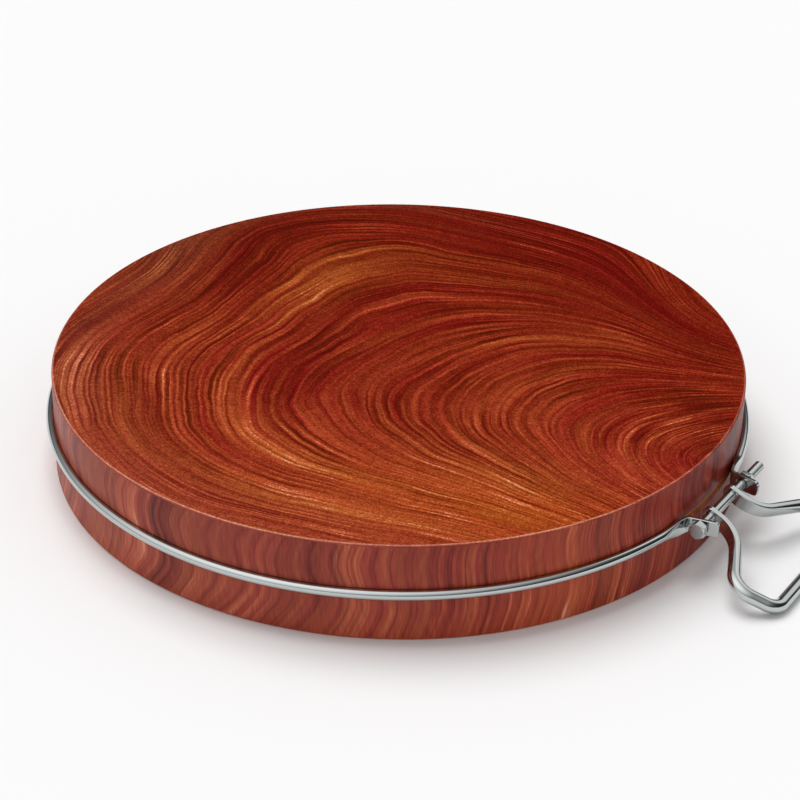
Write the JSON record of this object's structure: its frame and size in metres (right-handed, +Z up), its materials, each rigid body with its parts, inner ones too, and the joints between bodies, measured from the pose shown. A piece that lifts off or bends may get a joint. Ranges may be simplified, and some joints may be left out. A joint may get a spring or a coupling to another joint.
{
  "type": "round chopping block",
  "caption": "Thick round end-grain chopping block bound by a clamped steel wire hoop, with a hinged wire carrying handle.",
  "frame": {"origin": "centre of the block's underside, on the surface that it stands on", "axes": "+Z up out of the chopping surface, +X from the block's axis through the middle of the handle"},
  "size_m": [0.4008, 0.3474, 0.0505],
  "materials": {
    "end_grain_hardwood": "satin, oiled",
    "bright_stainless_wire": "polished",
    "stainless_fastener": "turned and tumbled",
    "polished_stainless_rod": "polished"
  },
  "bodies": {
    "block": {"chopping_block": "end_grain_hardwood", "hoop": "bright_stainless_wire", "clamp_bolt": "stainless_fastener"},
    "handle": {"handle": "polished_stainless_rod"},
    "nut": {"clamp_nut": "stainless_fastener"}
  },
  "joints": [
    {"name": "handle_swing", "type": "hinge", "parent": "block", "child": "handle", "pos_m": [0.17762, 0, 0.02525], "axis": [0, -1, 0], "range_deg": [-79, 130]},
    {"name": "nut_turn", "type": "hinge", "parent": "block", "child": "nut", "pos_m": [0.17762, 0.02551, 0.02525], "axis": [0, 1, 0], "continuous": true}
  ]
}
